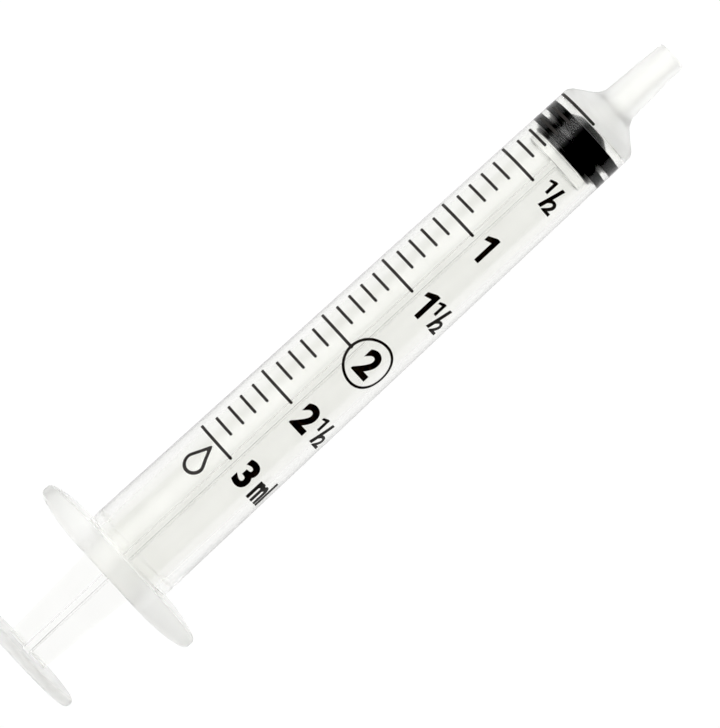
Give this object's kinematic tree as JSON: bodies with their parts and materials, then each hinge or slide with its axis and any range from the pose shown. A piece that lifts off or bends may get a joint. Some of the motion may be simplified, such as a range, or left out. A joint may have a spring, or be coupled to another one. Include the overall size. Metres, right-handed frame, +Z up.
{
  "type": "oral syringe",
  "caption": "Small disposable oral syringe with a clear graduated barrel, tapered slip nozzle, winged finger flange, ribbed plunger rod and black rubber stopper.",
  "frame": {"origin": "centre of the nozzle's mouth, on the barrel's axis", "axes": "+X along the barrel's axis, out of the nozzle; +Z up, with the syringe lying on its side and its finger flange spread along Y"},
  "size_m": [0.0926, 0.0222, 0.0144],
  "materials": {
    "clear_plastic": "glossy translucent polypropylene",
    "rod_plastic": "satin translucent polypropylene",
    "black_rubber": "smooth satin rubber",
    "ink": "printed black ink"
  },
  "bodies": {
    "barrel": {"barrel": "clear_plastic", "scale_lines": "ink"},
    "stopper": {"stopper": "black_rubber"},
    "plunger_rod": {"plunger_rod": "rod_plastic"}
  },
  "joints": [
    {"name": "plunger_slide", "type": "slide", "parent": "barrel", "child": "stopper", "axis": [-1, 0, 0], "range_m": [-0.0009, 0.059]},
    {"name": "rod_turn", "type": "hinge", "parent": "stopper", "child": "plunger_rod", "pos_m": [-0.01415, 0, 0], "axis": [1, 0, 0], "continuous": true}
  ]
}
